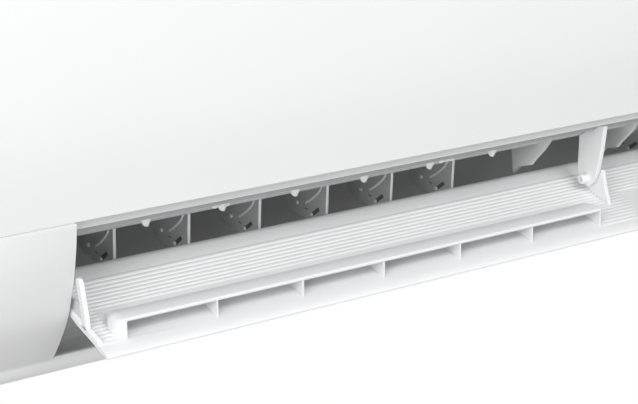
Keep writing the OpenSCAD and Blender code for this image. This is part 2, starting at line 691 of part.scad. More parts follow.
// Vanes, counted from the left on the left side and mirrored on the right
vane_y = -0.674 * unit_d;
vane_pitch = (cheek_x - bay_w) / vane_count;
function vane_x(i) = cheek_x - i * vane_pitch;
function lip_under_z(y) =
    let (p = at(lip_shares), k = y < p[1][0] ? 0 : 1, a = p[k], b = p[k + 1])
    a[1] + (y - a[0]) * (b[1] - a[1]) / (b[0] - a[0]);
wall_top_z = lip_under_z(vane_y) + wall / 2;
boss_top_z = -0.375 * half_h;
peg_h = 5;
boss_low_z = -0.893 * half_h;
boss_h = 9.1;
vane_top_z = boss_top_z - seat - gap;
vane_low_z = boss_low_z + boss_h + seat;
foot_top_z = -0.78 * half_h;
fork_z = -0.491 * half_h;
fork_t = 2.2;
fork_w = 8;
slot_gap = 0.6;
fork_tip = 4;
fork_len = crank_r + fork_tip;
module vane() {
    color("lightgray") {
        difference() {
            union() {
                along_x(-vane_t / 2, vane_t / 2) polygon(at(vane_shares));
                translate([-fork_w / 2, vane_y - fork_len, fork_z])
                    cube([fork_w, fork_len - peg_r, fork_t]);
                translate([0, vane_y, vane_low_z])
                    cylinder(r = 2 * peg_r, h = foot_top_z - vane_low_z);
            }
            translate([-peg_r - slot_gap, vane_y - fork_len - over, fork_z - over])
                cube([2 * (peg_r + slot_gap), fork_len - crank_r + 2 * peg_r + over,
                    fork_t + 2 * over]);
        }
        translate([0, vane_y, vane_low_z - boss_h + wall + 2 * gap])
            cylinder(r = peg_r, h = boss_h - wall - gap);
        translate([0, vane_y, vane_top_z - 2 * peg_r])
            cylinder(r = peg_r, h = 2 * peg_r + peg_h);
    }
}
module vane_left(i) {
    translate([-vane_x(i), 0, 0]) vane();
}
module vane_right(i) {
    translate([vane_x(i), 0, 0]) vane();
}

// Link bars that turn the vanes together
bar_y = vane_y - crank_r;
bar_z = fork_z + fork_t + 2 * gap;
bar_d = 4;
bar_t = 2.6;
bar_end = 8;
clip_place = 0.663 * vane_pitch;
cone_place = 2;
cone_y = -0.868 * unit_d;
cone_r = 2.2;
cone_tip_r = 0.8;
cone_h = 4.6;
module link_bar() {
    color("white") {
        block(-vane_x(1) - bar_end, -vane_x(vane_count) + bar_end, bar_y - bar_d / 2,
            bar_y + bar_d / 2, bar_z, bar_z + bar_t);
        for (i = [1:vane_count])
            translate([-vane_x(i), bar_y, fork_z - gap / 2])
                cylinder(r = peg_r, h = bar_z - fork_z + gap);
    }
}
module link_bar_left() {
    link_bar();
}
module link_bar_right() {
    mirror([1, 0, 0]) link_bar();
}

// Flap motor and its coupler at the right end
coupler_r = 4.2;
coupler_w = 12;
stepper_r = 11.5;
stepper_w = 18;
stepper_offset = 7.5;
stepper_x = cheek_x + coupler_w;
module flap_coupler() {
    color("whitesmoke") difference() {
        union() {
            rod(flap_x + seat, flap_x + coupler_w, hinge_y, hinge_z, coupler_r);
            rod(flap_x - ear_t, flap_x + gap, hinge_y, hinge_z, pin_r);
        }
        rod(flap_x + coupler_w / 2, flap_x + coupler_w + over, hinge_y, hinge_z, pin_r + fit);
    }
}
module flap_motor() {
    color("silver") {
        rod(stepper_x, stepper_x + stepper_w, hinge_y + stepper_offset, hinge_z, stepper_r);
        rod(flap_x + coupler_w / 2 + gap, stepper_x + over, hinge_y, hinge_z, pin_r);
        block(stepper_x, stepper_x + gap, hinge_y + stepper_offset - gap, -0.66 * unit_d,
            hinge_z - stepper_r, hinge_z + stepper_r);
        block(cheek_x + wall, stepper_x + gap / 2, -0.68 * unit_d, -0.66 * unit_d,
            hinge_z - stepper_r, hinge_z + stepper_r);
    }
}

// Control box, its cover and boards at the right end
box_x0 = cheek_x + wall + 2 * gap;
box_x1 = half_w - wall - seat;
box_y0 = -0.915 * unit_d;
box_gap = 2.8;
box_y1 = fan_y - motor_r - cradle_wall - box_gap;
box_z0 = -0.31 * half_h;
box_z1 = 0.42 * half_h;
box_wall = 2;
board_t = 1.6;
module control_box() {
    color("whitesmoke") difference() {
        block(box_x0, box_x1, box_y0, box_y1, box_z0, box_z1);
        block(box_x0 + box_wall, box_x1 - box_wall, box_y0 - over, box_y1 - box_wall,
            box_z0 + box_wall, box_z1 - box_wall);
    }
}
module control_box_cover() {
    color("gainsboro") difference() {
        block(box_x0, box_x1, box_y0 - box_wall, box_y0, box_z0, box_z1);
        translate([button_x, box_y0 + over, button_z]) rotate([90, 0, 0])
            cylinder(r = button_r + seat, h = box_wall + 2 * over);
    }
}
module control_board() {
    color("green") {
        y = box_y1 - box_wall - 3 * board_t;
        block(box_x0 + box_wall + seat, box_x1 - box_wall - seat, y, y + board_t,
            box_z0 + box_wall + seat, box_z1 - box_wall - seat);
        // Transformer, capacitor and relay
        block(box_x0 + 5 * box_wall, box_x0 + 14 * box_wall, y - 8 * box_wall, y,
            box_z0 + 5 * box_wall, box_z0 + 15 * box_wall);
        translate([box_x0 + 24 * box_wall, y, box_z0 + 12 * box_wall]) rotate([90, 0, 0])
            cylinder(r = 4 * box_wall, h = 9 * box_wall);
        block(box_x0 + 16 * box_wall, box_x0 + 26 * box_wall, y - 6 * box_wall, y,
            box_z0 + 26 * box_wall, box_z0 + 34 * box_wall);
    }
}
terminal_w = 50;
terminal_h = 20;
terminal_d = 18;
terminal_z = -0.62 * half_h;
poles = 4;
pole_r = 3;
module terminal_block() {
    x0 = half_w - wall - gap - terminal_w;
    color("ivory") difference() {
        block(x0, x0 + terminal_w, back_y - wall - terminal_d, back_y - wall, terminal_z,
            terminal_z + terminal_h);
        for (k = [0:poles - 1])
            translate([x0 + terminal_w * (k + 0.5) / poles, back_y - wall - terminal_d / 2,
                terminal_z + terminal_h / 2]) rotate([90, 0, 0])
                cylinder(r = pole_r, h = terminal_d);
    }
}
module cable_clamp() {
    x0 = half_w - wall - gap - terminal_w;
    color("whitesmoke") difference() {
        block(x0, x0 + terminal_w / 2, back_y - wall - terminal_d, back_y - wall,
            terminal_z - terminal_h, terminal_z - terminal_h / 2);
        block(x0 + terminal_w / 8, x0 + terminal_w * 3 / 8, back_y - wall - terminal_d * 0.7,
            back_y - wall + over, terminal_z - terminal_h - over, terminal_z);
    }
}
display_w = 44;
display_h = 14;
module display_board() {
    color("green")
        block(box_x1 - display_w, box_x1, box_y0 - box_wall - board_t, box_y0 - box_wall,
            box_z0 + box_wall, box_z0 + box_wall + display_h);
}
button_r = 3;
button_x = (box_x0 + box_x1) / 2;
button_z = box_z0 + 34 * gap;
button_out = 3;
button_in = 6;
button_travel = 1.5;
module emergency_button() {
    color("lightgray") translate([button_x, box_y0 + button_in, button_z])
        rotate([90, 0, 0]) {
            cylinder(r = button_r, h = button_in + box_wall + button_out);
            cylinder(r = button_r + gap, h = button_in - button_travel - seat);
        }
}
sensor_r = 3;
sensor_len = 26;
module room_sensor() {
    color("black") translate([bulkhead_x - wall - seat - sensor_r, -0.72 * unit_d, 0])
        cylinder(r = sensor_r, h = sensor_len);
}

// Casing screws in wells in the underside, under small caps
screw_places = [-0.78 * half_w, 0, 0.78 * half_w];
screw_y = -0.3 * unit_d;
screw_r = 2;
screw_head_r = 4;
screw_head_h = 2.4;
screw_len = 12;
well_deep = 5;
cap_t = 1;
module casing_screws() {
    color("silver") for (x = screw_places) translate([x, screw_y, -half_h + well_deep]) {
        translate([0, 0, -screw_head_h]) cylinder(r = screw_head_r, h = screw_head_h);
        translate([0, 0, -screw_head_h / 2]) cylinder(r = screw_r, h = screw_len);
    }
}
module screw_caps() {
    color("white") for (x = screw_places) translate([x, screw_y, -half_h])
        cylinder(r = screw_head_r, h = cap_t);
}

mounting_plate();
rear_base();
front_casing();
front_panel();
panel_hinge_pins();
mirror([1, 0, 0]) filter();  // filter_left
filter();  // filter_right
pack_fins(0);  // coil_fins_lower
pack_fins(1);  // coil_fins_front
pack_fins(2);  // coil_fins_rear
coil_tubes();
coil_end_plates();
liquid_pipe();
gas_pipe();
flare_nuts();
fan_rotor();
fan_shaft();
fan_bearing();
bearing_holder();
fan_motor();
motor_clamp();
drain_pan();
drain_spigot();
flap();
hinge_arm();
hinge_pin();
vane_left(1);  // vane_left_1
vane_left(2);  // vane_left_2
vane_left(3);  // vane_left_3
vane_left(4);  // vane_left_4
vane_left(5);  // vane_left_5
vane_left(6);  // vane_left_6
vane_right(1);  // vane_right_1
vane_right(2);  // vane_right_2
vane_right(3);  // vane_right_3
vane_right(4);  // vane_right_4
vane_right(5);  // vane_right_5
vane_right(6);  // vane_right_6
link_bar_left();
link_bar_right();
flap_motor();
flap_coupler();
control_box();
control_box_cover();
control_board();
terminal_block();
cable_clamp();
display_board();
emergency_button();
room_sensor();
casing_screws();
screw_caps();
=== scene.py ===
import json
import math

import bpy
import bmesh
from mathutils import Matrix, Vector


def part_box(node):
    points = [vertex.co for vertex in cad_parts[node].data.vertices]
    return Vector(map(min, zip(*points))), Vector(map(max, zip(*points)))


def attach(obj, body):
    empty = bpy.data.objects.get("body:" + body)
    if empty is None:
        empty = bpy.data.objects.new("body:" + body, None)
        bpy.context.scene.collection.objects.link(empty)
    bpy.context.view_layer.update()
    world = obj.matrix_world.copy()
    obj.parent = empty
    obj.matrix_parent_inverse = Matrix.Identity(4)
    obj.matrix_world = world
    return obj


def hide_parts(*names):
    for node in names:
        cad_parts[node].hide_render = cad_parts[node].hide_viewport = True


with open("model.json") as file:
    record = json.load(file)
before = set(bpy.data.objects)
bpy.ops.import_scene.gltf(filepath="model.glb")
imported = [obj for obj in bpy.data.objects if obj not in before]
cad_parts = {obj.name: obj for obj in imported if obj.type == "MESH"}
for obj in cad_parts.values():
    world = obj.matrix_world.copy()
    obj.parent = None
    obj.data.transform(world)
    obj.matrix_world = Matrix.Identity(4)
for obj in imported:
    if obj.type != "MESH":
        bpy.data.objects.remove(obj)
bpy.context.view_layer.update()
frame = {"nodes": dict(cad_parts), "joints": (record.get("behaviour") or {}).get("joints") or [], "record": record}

# Visual model of a wall-mounted indoor unit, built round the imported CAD. All lengths are in
# metres. A curve in the unit's section is a list of (y, z) points.

# Sizes taken from the frame
MM = 0.001
DEPTH = -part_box("front_panel")[0][1]
HALF_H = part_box("front_casing")[1][2]
HALF_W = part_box("front_casing")[1][0]
JOINT = {j["name"]: j for j in frame["joints"]}
HINGE = Vector(JOINT["flap_hinge"]["pos_m"])
FLAP_OPEN = math.radians(-JOINT["flap_hinge"]["range_deg"][0])
VANES_A_SIDE = 6
VANE_X = [JOINT["vane_left_%d_turn" % i]["pos_m"][0] for i in range(1, VANES_A_SIDE + 1)]
VANE_Y = JOINT["vane_left_1_turn"]["pos_m"][1]

# Half widths of the outlet between the cheeks and of the flap in it
CHEEK_X = 333 * MM
FLAP_X = CHEEK_X - 1.5 * MM

# Edges sharper than this show as edges, and vertices nearer than this are one
SHARP_DEG = 30.0
MERGE_GAP = 1e-7


# Curves and outlines in the section of the unit
def at(shares):
    """Points given as shares of the depth and of the half height."""
    return [Vector((-a * DEPTH, b * HALF_H)) for a, b in shares]


def yz(*pairs):
    """Points given in millimetres."""
    return [Vector(p) * MM for p in pairs]


def smooth(points, steps):
    """A Catmull-Rom curve through the points."""
    out = []
    for i in range(len(points) - 1):
        a, b = points[max(i - 1, 0)], points[i]
        c, d = points[i + 1], points[min(i + 2, len(points) - 1)]
        for k in range(steps):
            t = k / steps
            out.append((2 * b + (c - a) * t + (2 * a - 5 * b + 4 * c - d) * t * t
                        + (3 * b - a - 3 * c + d) * t ** 3) / 2)
    out.append(points[-1].copy())
    return out


def left_of(points, i):
    """Unit normal on the left of a curve at one of its points."""
    d = points[min(i + 1, len(points) - 1)] - points[max(i - 1, 0)]
    return Vector((-d.y, d.x)).normalized()


def beside(points, t):
    """The curve moved to its left by a distance."""
    return [p + left_of(points, i) * t for i, p in enumerate(points)]


def arc(centre, r, a0, a1, steps):
    return [Vector((centre[0] + r * math.cos(math.radians(a0 + (a1 - a0) * k / steps)),
                    centre[1] + r * math.sin(math.radians(a0 + (a1 - a0) * k / steps))))
            for k in range(steps + 1)]


# Outer curves of the front panel and of the shut flap
PANEL = [(0.842, 0.943), (0.905, 0.84), (0.958, 0.667), (0.989, 0.433), (1, 0.167),
         (0.993, -0.1), (0.9595, -0.363)]
FLAP = [(0.9815, -0.368), (0.955, -0.48), (0.929, -0.59), (0.892, -0.693), (0.84, -0.793)]


# Mesh builders
def link(mesh, name):
    obj = bpy.data.objects.new(name, mesh)
    bpy.context.scene.collection.objects.link(obj)
    return obj


def finish_mesh(bm, name, sharp=SHARP_DEG):
    bmesh.ops.remove_doubles(bm, verts=bm.verts, dist=MERGE_GAP)
    bmesh.ops.recalc_face_normals(bm, faces=bm.faces)
    mesh = bpy.data.meshes.new(name)
    bm.to_mesh(mesh)
    bm.free()
    mesh.shade_smooth()
    mesh.set_sharp_from_angle(angle=math.radians(sharp))
    return link(mesh, name)


BEVEL_FROM_DEG = 35.0


def soften(obj, width, segments=2, limit=BEVEL_FROM_DEG, harden=True):
    """Rounds the edges that are sharper than the limit, in degrees."""
    mod = obj.modifiers.new("edges", "BEVEL")
    mod.width = width
    mod.segments = segments
    mod.limit_method = "ANGLE"
    mod.angle_limit = math.radians(limit)
    mod.harden_normals = harden
    return obj


def cap_into(bm, low, high):
    """Joins two rings of places into a closed solid."""
    low = [bm.verts.new(v) for v in low]
    high = [bm.verts.new(v) for v in high]
    n = len(low)
    for i in range(n):
        bm.faces.new((low[i], low[(i + 1) % n], high[(i + 1) % n], high[i]))
    bm.faces.new(low)
    bm.faces.new(high[::-1])


def prism_into(bm, outline, x0, x1):
    cap_into(bm, [(x0, p.x, p.y) for p in outline], [(x1, p.x, p.y) for p in outline])


def mirror_into(bm, outline, side, xa, xb):
    """A prism between two distances from the middle, on the side given by its sign."""
    prism_into(bm, outline, *sorted((side * xa, side * xb)))


def lathe_into(bm, profile, origin, axis, steps):
    """profile is (along, radius) pairs in millimetres, from one end to the other."""
    axis = Vector(axis).normalized()
    side = axis.orthogonal().normalized()
    up = axis.cross(side)
    rings = []
    for along, r in profile:
        rings.append([bm.verts.new(Vector(origin) + axis * (along * MM)
                                   + (side * math.cos(2 * math.pi * k / steps)
                                      + up * math.sin(2 * math.pi * k / steps)) * (r * MM))
                      for k in range(steps)])
    for a, b in zip(rings, rings[1:]):
        for k in range(steps):
            bm.faces.new((a[k], a[(k + 1) % steps], b[(k + 1) % steps], b[k]))
    bm.faces.new(rings[0][::-1])
    bm.faces.new(rings[-1])


# Materials
def shader_of(tree):
    return tree.nodes["Principled BSDF"]


def new_node(tree, kind, **sockets):
    made = tree.nodes.new("ShaderNode" + kind)
    for key, value in sockets.items():
        made.inputs[key.replace("_", " ")].default_value = value
    return made


def noise_on(tree, vector, scale, detail):
    noise = new_node(tree, "TexNoise", Scale=scale, Detail=detail)
    tree.links.new(vector, noise.inputs["Vector"])
    return noise


def color_from(tree, value, low, high, positions=(0.0, 1.0)):
    """Feeds the shader's colour from a value, between two colours."""
    ramp_node = new_node(tree, "ValToRGB")
    for element, place, color in zip(ramp_node.color_ramp.elements, positions, (low, high)):
        element.position = place
        element.color = (*color, 1)
    tree.links.new(value, ramp_node.inputs["Fac"])
    tree.links.new(ramp_node.outputs["Color"], shader_of(tree).inputs["Base Color"])


def gloss_from(tree, value, low, high):
    """Feeds the shader's roughness from a value, between two levels."""
    gloss = new_node(tree, "MapRange", To_Min=low, To_Max=high)
    tree.links.new(value, gloss.inputs["Value"])
    tree.links.new(gloss.outputs["Result"], shader_of(tree).inputs["Roughness"])


def bump_from(tree, height, **sockets):
    bump = new_node(tree, "Bump", **sockets)
    tree.links.new(height, bump.inputs["Height"])
    tree.links.new(bump.outputs["Normal"], shader_of(tree).inputs["Normal"])


def principled(name, color, rough, **sockets):
    mat = bpy.data.materials.new(name)
    mat.use_nodes = True
    shader = shader_of(mat.node_tree)
    shader.inputs["Base Color"].default_value = (*color, 1)
    shader.inputs["Roughness"].default_value = rough
    for key, value in sockets.items():
        shader.inputs[key.replace("_", " ")].default_value = value
    return mat


GLOSS_SPREAD = 0.05
MOTTLE_SIZE = 90  # times the size of the grain
MOTTLE_BAND = (0.3, 0.7)
GRAIN_DEPTH = 0.08 * MM
STREAK_SCALE, STREAK_STRETCH = 700, 0.03
STREAK_DEPTH = 0.1 * MM
NET_SCALE, NET_DEPTH = 160, 0.4 * MM
NET_HOLE_SHADE = 0.35


def plastic(name, color, rough=0.4, scale=1800, bump=0.25, spread=0.012):
    """Moulded plastic: fine grain, faint mottling of the colour and uneven gloss."""
    mat = principled(name, color, rough)
    tree = mat.node_tree
    place = new_node(tree, "TexCoord").outputs["Object"]
    fine = noise_on(tree, place, scale, 4)
    broad = noise_on(tree, place, scale / MOTTLE_SIZE, 3)
    color_from(tree, broad.outputs["Fac"], [c * (1 - spread) for c in color],
               [min(1, c * (1 + spread)) for c in color], MOTTLE_BAND)
    gloss_from(tree, fine.outputs["Fac"], rough - GLOSS_SPREAD, rough + GLOSS_SPREAD)
    bump_from(tree, fine.outputs["Fac"], Strength=bump, Distance=GRAIN_DEPTH)
    return mat


def metal(name, color, rough, streak_axis):
    """Bare metal with fine streaks along one axis."""
    mat = principled(name, color, rough, Metallic=1.0)
    tree = mat.node_tree
    stretch = [1.0, 1.0, 1.0]
    stretch[streak_axis] = STREAK_STRETCH
    mapping = new_node(tree, "Mapping", Scale=stretch)
    tree.links.new(new_node(tree, "TexCoord").outputs["Object"], mapping.inputs["Vector"])
    noise = noise_on(tree, mapping.outputs["Vector"], STREAK_SCALE, 5)
    gloss_from(tree, noise.outputs["Fac"], rough - 0.1, rough + 0.12)
    bump_from(tree, noise.outputs["Fac"], Strength=0.15, Distance=STREAK_DEPTH)
    return mat


def woven(name, color):
    """A fine square net."""
    mat = principled(name, color, 0.7)
    tree = mat.node_tree
    place = new_node(tree, "TexCoord").outputs["Object"]
    both = new_node(tree, "Math")
    both.operation = "MAXIMUM"
    for socket, axis in zip(both.inputs, ("X", "Z")):
        wave = new_node(tree, "TexWave", Scale=NET_SCALE)
        wave.bands_direction = axis
        tree.links.new(place, wave.inputs["Vector"])
        tree.links.new(wave.outputs["Fac"], socket)
    color_from(tree, both.outputs["Value"], [c * NET_HOLE_SHADE for c in color], color)
    bump_from(tree, both.outputs["Value"], Distance=NET_DEPTH)
    return mat


MATS = {
    "panel": plastic("panel_white", (0.83, 0.833, 0.836), rough=0.3, bump=0.08, spread=0.004),
    "casing": plastic("casing_white", (0.83, 0.833, 0.836), rough=0.34, bump=0.1, spread=0.004),
    "flap_white": plastic("flap_white", (0.77, 0.775, 0.78), rough=0.42),
    "white_small": plastic("small_white", (0.82, 0.83, 0.83), rough=0.4),
    "vane_grey": plastic("vane_grey", (0.52, 0.523, 0.527), rough=0.42, scale=1200, bump=0.3,
                         spread=0.04),
    # a paler copy of the vane's grey plastic: painted highlight on front edges, pegs and bead
    "painted_vane_highlight": plastic("painted_vane_highlight", (0.86, 0.865, 0.87), rough=0.4),
    "inner_grey": plastic("duct_grey", (0.62, 0.623, 0.627), rough=0.5, spread=0.05),
    "bar_grey": plastic("bar_grey", (0.3, 0.303, 0.307), rough=0.5, spread=0.05),
    # near black: painted shade in the slots of the vanes
    "painted_slot_shade": plastic("painted_slot_shade", (0.12, 0.121, 0.123), rough=0.6),
    # near black: painted shade in the grooves of the recessed band
    "painted_groove_shade": plastic("painted_groove_shade", (0.1, 0.101, 0.103), rough=0.5),
    # mid grey on white parts: painted shade on the band's ridges and on the end ears in the cheek's shadow
    "painted_shade_grey": plastic("painted_shade_grey", (0.6, 0.605, 0.61), rough=0.45),
    "zinc": metal("zinc_sheet", (0.62, 0.63, 0.64), 0.38, 0),
    "fins": metal("fin_foil", (0.78, 0.79, 0.81), 0.3, 2),
    "copper": metal("copper_tube", (0.85, 0.45, 0.28), 0.28, 0),
    "brass": metal("flare_brass", (0.8, 0.62, 0.3), 0.3, 1),
    "steel": metal("turned_steel", (0.68, 0.68, 0.69), 0.3, 0),
    "fan_dark": plastic("fan_black", (0.03, 0.031, 0.034), rough=0.5, spread=0.1),
    "rubber": plastic("rubber_black", (0.02, 0.02, 0.02), rough=0.8, bump=0.5, spread=0.1),
    "motor": plastic("motor_paint", (0.16, 0.165, 0.17), rough=0.45, spread=0.05),
    "board": plastic("board_green", (0.02, 0.16, 0.06), rough=0.35, scale=400, bump=0.3,
                     spread=0.15),
    "net": woven("filter_net", (0.5, 0.58, 0.64)),
    "cream": plastic("cream_plastic", (0.72, 0.68, 0.55), rough=0.45),
}


def dress(obj, key):
    obj.data.materials.clear()
    obj.data.materials.append(MATS[key])
    return obj


def piece(obj, body, key):
    """Gives a new piece its material and its body."""
    dress(obj, key)
    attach(obj, body)
    return obj


def smooth_group():
    """Shades faces smooth and keeps the sharp edges."""
    group = bpy.data.node_groups.new("smooth_curves", "GeometryNodeTree")
    group.interface.new_socket("Geometry", in_out="INPUT", socket_type="NodeSocketGeometry")
    group.interface.new_socket("Geometry", in_out="OUTPUT", socket_type="NodeSocketGeometry")
    start = group.nodes.new("NodeGroupInput")
    end = group.nodes.new("NodeGroupOutput")
    faces = group.nodes.new("GeometryNodeSetShadeSmooth")
    edges = group.nodes.new("GeometryNodeSetShadeSmooth")
    edges.domain = "EDGE"
    angle = group.nodes.new("GeometryNodeInputMeshEdgeAngle")
    flat = group.nodes.new("FunctionNodeCompare")
    flat.data_type = "FLOAT"
    flat.operation = "LESS_THAN"
    flat.inputs[1].default_value = math.radians(SHARP_DEG)
    group.links.new(start.outputs[0], faces.inputs["Geometry"])
    group.links.new(faces.outputs["Geometry"], edges.inputs["Geometry"])
    group.links.new(angle.outputs["Unsigned Angle"], flat.inputs[0])
    group.links.new(flat.outputs["Result"], edges.inputs["Shade Smooth"])
    group.links.new(edges.outputs["Geometry"], end.inputs[0])
    return group


# Looks of the CAD nodes: their material, and in millimetres how far their edges are rounded
SMOOTH = smooth_group()
WELD_GAP = 2e-6
EDGE_OF = {"front_casing": 0.45, "drain_pan": 0.4, "rear_base": 0.4, "control_box": 0.5,
           "control_box_cover": 0.4, "terminal_block": 0.4, "drain_spigot": 0.3,
           "link_bar_left": 0.3, "link_bar_right": 0.3, "mounting_plate": 0.2,
           "filter_left": 0.3, "filter_right": 0.3, "display_board": 0.1}
SLOT_OF = {s["node"]: s["material_slot"] for s in frame["record"]["subparts"]}
LOOK_OF = {"link_bar_left": "bar_grey", "link_bar_right": "bar_grey"}
for node_name, node in frame["nodes"].items():
    dress(node, LOOK_OF.get(node_name, SLOT_OF[node_name]))
    weld = node.modifiers.new("weld", "WELD")
    weld.merge_threshold = WELD_GAP
    if node_name in EDGE_OF:
        soften(node, EDGE_OF[node_name] * MM, limit=40, harden=False)
    shade = node.modifiers.new("curves", "NODES")
    shade.node_group = SMOOTH


# Front panel: one smooth curved shell with rolled edges, and its two hinge lugs
PANEL_T = 3 * MM
LUG_CENTRE = at([(0.82, 0.88)])[0]
LUG_R = 4.25 * MM
LUG_X = (HALF_W - 2.8 * MM, HALF_W - 6.8 * MM)
LUG_ON_PANEL = (24, 60)  # the points of the panel's curve that a lug joins


def front_panel():
    path = smooth(at(PANEL), 14)
    bm = bmesh.new()
    prism_into(bm, path + beside(path, PANEL_T)[::-1], -HALF_W, HALF_W)
    lug = arc(LUG_CENTRE, LUG_R, -180, 90, 20) + [path[i] for i in LUG_ON_PANEL]
    for side in (-1, 1):
        mirror_into(bm, lug, side, *LUG_X)
    return soften(finish_mesh(bm, "panel_shell"), 0.7 * MM, 3)


panel = piece(front_panel(), "panel", "panel")


# Grooved band on the slope under the trim strip, with five fine ridges, all in painted shade
BAND_TOP, BAND_LOW = yz((-172.3, -60.8), (-167.8, -65.5))
BAND_BACK = yz((-163.2, -66.4), (-168, -62))
BAND_X = CHEEK_X - 0.6 * MM
BAND_SINK, RIDGE_DEPTH = 0.4 * MM, 0.5 * MM
RIDGES = 5
RIDGE_PITCH, RIDGE_FROM, RIDGE_TO = 0.2, 0.07, 0.15  # shares of the slope


def lip_band():
    slope = BAND_LOW - BAND_TOP
    out = Vector((slope.y, -slope.x)).normalized()
    bm = bmesh.new()
    sink = out * BAND_SINK
    prism_into(bm, [BAND_TOP - sink, BAND_LOW - sink] + BAND_BACK, -BAND_X, BAND_X)
    base = finish_mesh(bm, "lip_band")
    bm = bmesh.new()
    for k in range(RIDGES):
        a, b = (BAND_TOP.lerp(BAND_LOW, RIDGE_PITCH * k + share)
                for share in (RIDGE_FROM, RIDGE_TO))
        depth = out * RIDGE_DEPTH
        prism_into(bm, [a - depth, a, b, b - depth], -BAND_X, BAND_X)
    return base, finish_mesh(bm, "lip_ridges")


band, ridges = lip_band()
# band base near black and ridges mid grey on white casing: painted shade of the recess
piece(band, "base", "painted_groove_shade")
piece(ridges, "base", "painted_shade_grey")


def seam_flange():
    """Flange of the casing that lies close behind the seam under the panel."""
    bm = bmesh.new()
    line = yz((-180.6, -58.5), (-181.4, -55.4), (-181, -51.2), (-178.6, -51.2), (-178.4, -58.5))
    for side in (-1, 1):
        mirror_into(bm, line, side, CHEEK_X + 0.4 * MM, HALF_W - 2.9 * MM)
    return soften(finish_mesh(bm, "seam_flange"), 0.3 * MM)


piece(seam_flange(), "base", "casing")


# Rounded pegs under the lip, one beside each vane, and two pairs of clips with their studs
PEG = [(0, 2.9), (1.2, 2.9), (2.2, 2.6), (3.4, 1.9), (4.4, 1.2), (5, 0.5)]
STUD = [(0, 1.6), (1.6, 1.6), (2.3, 1.2), (2.7, 0.5)]
CLIP = yz((-166.8, -65.2), (-167, -66.4), (-166.2, -67.1), (-164.4, -66.9), (-163.6, -65.6))
CLIP_X = ((250.3, 243.1), (109.4, 102.2))
PEG_SHIFT = 1.2 * MM
PEG_PLACE, STUD_PLACE = yz((-165, -64.8), (-165.4, -64.9))


def lip_pegs():
    bm = bmesh.new()
    down = (0, 0, -1)
    for side in (-1, 1):
        for x in VANE_X:
            lathe_into(bm, PEG, (side * (abs(x) - PEG_SHIFT), *PEG_PLACE), down, 28)
        for pair in CLIP_X:
            ends = sorted(side * x * MM for x in pair)
            prism_into(bm, CLIP, *ends)
            for x in ends:
                lathe_into(bm, STUD, (x, *STUD_PLACE), down, 20)
    return soften(finish_mesh(bm, "lip_pegs", 40), 0.3 * MM)


piece(lip_pegs(), "base", "white_small")


# Flap: the upper face is a height field along the curved skin, with ribs and raised ends
PIN = Vector((HINGE.y, HINGE.z))


def turn_open(p):
    """Turns a point of the shut flap to the open place of the photograph."""
    d = p - PIN
    c, s = math.cos(FLAP_OPEN), math.sin(FLAP_OPEN)
    return Vector((PIN.x + d.x * c - d.y * s, PIN.y + d.x * s + d.y * c))


OUTER = [turn_open(p) for p in smooth(at(FLAP), 16)][::-1]
S_OF = [0.0]
for q0, q1 in zip(OUTER, OUTER[1:]):
    S_OF.append(S_OF[-1] + (q1 - q0).length)
FLAP_LEN = S_OF[-1]


def on_skin(s):
    """Point of the flap's outer skin at a distance from its rear edge, and the inward normal."""
    s = max(0.0, min(FLAP_LEN, s))
    i = 0
    while i < len(S_OF) - 2 and S_OF[i + 1] < s:
        i += 1
    t = (s - S_OF[i]) / (S_OF[i + 1] - S_OF[i])
    p = OUTER[i].lerp(OUTER[i + 1], t)
    d = (OUTER[min(i + 2, len(OUTER) - 1)] - OUTER[max(i - 1, 0)]).normalized()
    return p, Vector((d.y, -d.x))


def ramp(x, a, b):
    """Goes smoothly from 0 at a to 1 at b."""
    t = max(0.0, min(1.0, (x - a) / (b - a)))
    return t * t * (3 - 2 * t)


SKIN_T = 2.2 * MM
REAR_ROUND = 4 * MM
LIP_ROUND = 6 * MM

# Ribs: where they start and end on the skin, in millimetres, with a wider pitch near the lip
RIB_START, RIB_CHANGE, RIB_STOP = 10.85, 36, 59
RIB_PITCH, RIB_PITCH_LIP = 2.65, 3
RIB_EDGE = [RIB_START]
while RIB_EDGE[-1] < RIB_STOP:
    RIB_EDGE.append(RIB_EDGE[-1] + (RIB_PITCH if RIB_EDGE[-1] < RIB_CHANGE else RIB_PITCH_LIP))
RIB_H = 0.42 * MM
RIBS_BEHIND_WING = 8
RIB_INSET, RIB_INSET_WING, RIB_INSET_STEP = 3.5, 4.6, 0.45  # from the flap's end

# Wing: its webs, its inner ends (the photograph shows none before the right one's) and the
# round of its outer end
WEB_PITCH = 49.6 * MM
WING_END = 19 * MM
WING_END_RIGHT = 34 * MM
WEB_COUNT = 6
WING_OUT = WING_END + WEB_COUNT * WEB_PITCH
WING_ROUND = 5 * MM

# The rim along each end of the flap
RIM_H = 1.9 * MM


def rib_height(s, x):
    """Broad rounded ribs with narrow grooves between them."""
    v = s / MM
    if v <= RIB_EDGE[0] or v >= RIB_EDGE[-1]:
        return 0.0
    k = 0
    while v > RIB_EDGE[k + 1]:
        k += 1
    u = abs(2 * (v - RIB_EDGE[k]) / (RIB_EDGE[k + 1] - RIB_EDGE[k]) - 1)
    high = RIB_H * (1 - u ** 3)
    x_in = FLAP_X - abs(x)
    beyond = k - RIBS_BEHIND_WING
    first = (RIB_INSET if beyond < 0 else RIB_INSET_WING - RIB_INSET_STEP * beyond) * MM
    high *= ramp(x_in, first - 0.5 * MM, first + 0.5 * MM)
    if beyond >= 0:
        # No rib runs under the wings. The right one starts further out than its bare strip.
        under = ramp(abs(x), WING_END - 1.2 * MM, WING_END) * (
            1 - ramp(abs(x), WING_OUT + WING_ROUND - 2 * MM, WING_OUT + WING_ROUND - MM))
        high *= 1 - under
    return high


def end_height(s, x):
    """A rounded rim along each end of the flap, which stops short of the lip."""
    x_in = FLAP_X - abs(x)
    v = s / MM
    high = RIM_H * ramp(v, 4, 12) * (1 - ramp(v, 58.5, 60))
    return high * (1 - ramp(x_in, 1.9 * MM, 3.5 * MM)) * ramp(x_in, -0.8 * MM, 0.9 * MM)


